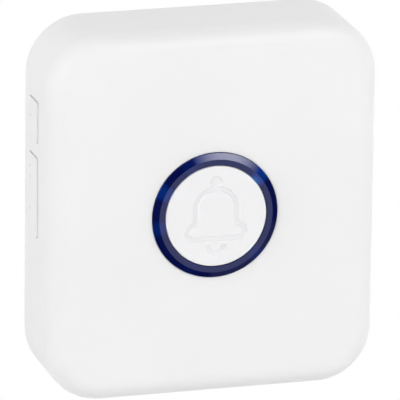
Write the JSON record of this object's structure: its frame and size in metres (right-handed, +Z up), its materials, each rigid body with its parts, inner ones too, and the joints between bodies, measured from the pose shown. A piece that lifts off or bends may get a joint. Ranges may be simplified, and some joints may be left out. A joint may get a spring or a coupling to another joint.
{
  "type": "wireless door chime",
  "caption": "Flat white plug-in door chime: a lit ring round a bell push button, side volume button and melody rocker, rear speaker slots and round plug pins.",
  "frame": {"origin": "midway between the two plug pins, on the end face of the plug body, where it meets the wall socket", "axes": "+Z up, the front with the bell button faces -Y, the pins point along +Y into the wall, +X is to the right seen from the front"},
  "size_m": [0.0794, 0.0585, 0.088],
  "materials": {
    "housing_white": "satin",
    "button_white": "satin",
    "ring_navy": "gloss",
    "milky_plastic": "matte",
    "lamp": "gloss",
    "nickel": "satin",
    "steel": "satin",
    "sleeve_black": "matte",
    "black_plastic": "matte",
    "plunger_grey": "satin",
    "board_green": "satin",
    "film_yellow": "satin",
    "can_dark": "satin",
    "ferrite": "matte",
    "ceramic_blue": "satin",
    "ceramic_green": "satin",
    "copper": "satin",
    "foam": "matte",
    "paper_cone": "matte",
    "lead_insulation": "satin"
  },
  "bodies": {
    "housing": {"front_cover": "housing_white", "rear_cover": "housing_white", "housing_screws": "steel", "light_ring": "ring_navy", "ring_diffuser": "milky_plastic", "ring_lamps": "lamp", "bell_switch": "black_plastic", "volume_switch": "black_plastic", "melody_switches": "black_plastic", "melody_plungers": "plunger_grey", "rocker_pin": "steel", "main_board": "board_green", "board_screws": "steel", "side_board": "board_green", "side_header": "black_plastic", "speaker_gasket": "foam", "speaker_frame": "steel", "speaker_cone": "paper_cone", "speaker_magnet": "steel", "speaker_leads": "lead_insulation", "plug_pins": "nickel", "pin_sleeves": "sleeve_black", "pin_clamp": "black_plastic", "clamp_screw": "steel", "mains_leads": "lead_insulation", "film_capacitor": "film_yellow", "reservoir_capacitor": "can_dark", "filter_capacitor": "can_dark", "rectifier_diodes": "black_plastic", "fuse_resistor": "ceramic_green", "varistor": "ceramic_blue", "drum_inductor": "ferrite", "controller_chip": "black_plastic", "melody_chip": "black_plastic", "radio_board": "board_green", "radio_chip": "black_plastic", "radio_crystal": "steel", "coil_antenna": "copper"},
    "bell_button": {"bell_button": "button_white", "bell_plunger": "plunger_grey"},
    "volume_button": {"volume_button": "button_white", "volume_plunger": "plunger_grey"},
    "melody_rocker": {"melody_rocker": "button_white"}
  },
  "joints": [
    {"name": "bell_button_press", "type": "slide", "parent": "housing", "child": "bell_button", "axis": [0, 1, 0], "range_m": [0, 0.0005], "stiffness_N_per_m": 800},
    {"name": "volume_button_press", "type": "slide", "parent": "housing", "child": "volume_button", "axis": [1, 0, 0], "range_m": [0, 0.0005], "stiffness_N_per_m": 800},
    {"name": "melody_rocker_tilt", "type": "hinge", "parent": "housing", "child": "melody_rocker", "pos_m": [-0.0354, -0.0241, -0.0104], "axis": [0, 1, 0], "range_deg": [-2, 2], "stiffness_Nm_per_rad": 0.05}
  ]
}
